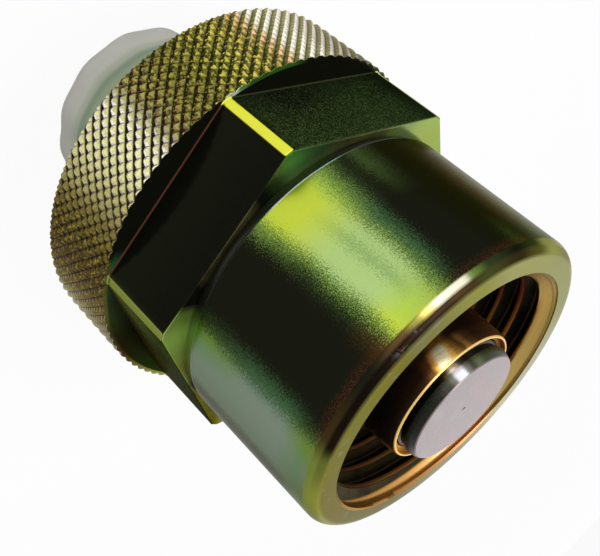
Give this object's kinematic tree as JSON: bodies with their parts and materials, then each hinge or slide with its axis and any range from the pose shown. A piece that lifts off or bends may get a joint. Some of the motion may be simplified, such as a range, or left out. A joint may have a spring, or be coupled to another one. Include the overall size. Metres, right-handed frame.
{
  "type": "hydraulic screw coupling plug",
  "caption": "Screw-to-connect hydraulic coupling half: nose tube with sprung flat poppet inside a spinning hexagon union nut, tube port under a dust cap.",
  "frame": {"origin": "centre of the dust cap's flat end, on the axis, where the part stands", "axes": "+Z along the axis towards the poppet face; +X square to a flat of the nut's hexagon"},
  "size_m": [0.0536, 0.0536, 0.0711],
  "materials": {
    "chromate_steel": "yellow iridescent chromate on zinc, satin",
    "bronze_steel": "gold-brown chromate on zinc, smooth",
    "bare_steel": "ground, faintly lavender",
    "spring_steel": "drawn wire",
    "black_rubber": "smooth nitrile",
    "backup_plastic": "white PTFE",
    "cap_plastic": "translucent natural polyethylene"
  },
  "bodies": {
    "plug": {"plug_body": "bronze_steel", "port_adapter": "chromate_steel", "poppet_guide": "bare_steel", "poppet_spring": "spring_steel", "adapter_o_ring": "black_rubber", "adapter_backup_ring": "backup_plastic"},
    "nut": {"union_nut": "chromate_steel"},
    "valve": {"poppet": "bare_steel", "poppet_seal": "black_rubber"},
    "cap": {"dust_cap": "cap_plastic"}
  },
  "joints": [
    {"name": "nut_spin", "type": "hinge", "parent": "plug", "child": "nut", "pos_m": [0, 0, 0.035], "axis": [0, 0, 1], "continuous": true},
    {"name": "poppet_push", "type": "slide", "parent": "plug", "child": "valve", "axis": [0, 0, -1], "range_m": [0, 0.008], "stiffness_N_per_m": 2500, "springref_m": -0.008, "deforming": ["poppet_spring"]},
    {"name": "cap_pull", "type": "slide", "parent": "plug", "child": "cap", "axis": [0, 0, -1], "range_m": [0, 0.06]}
  ]
}
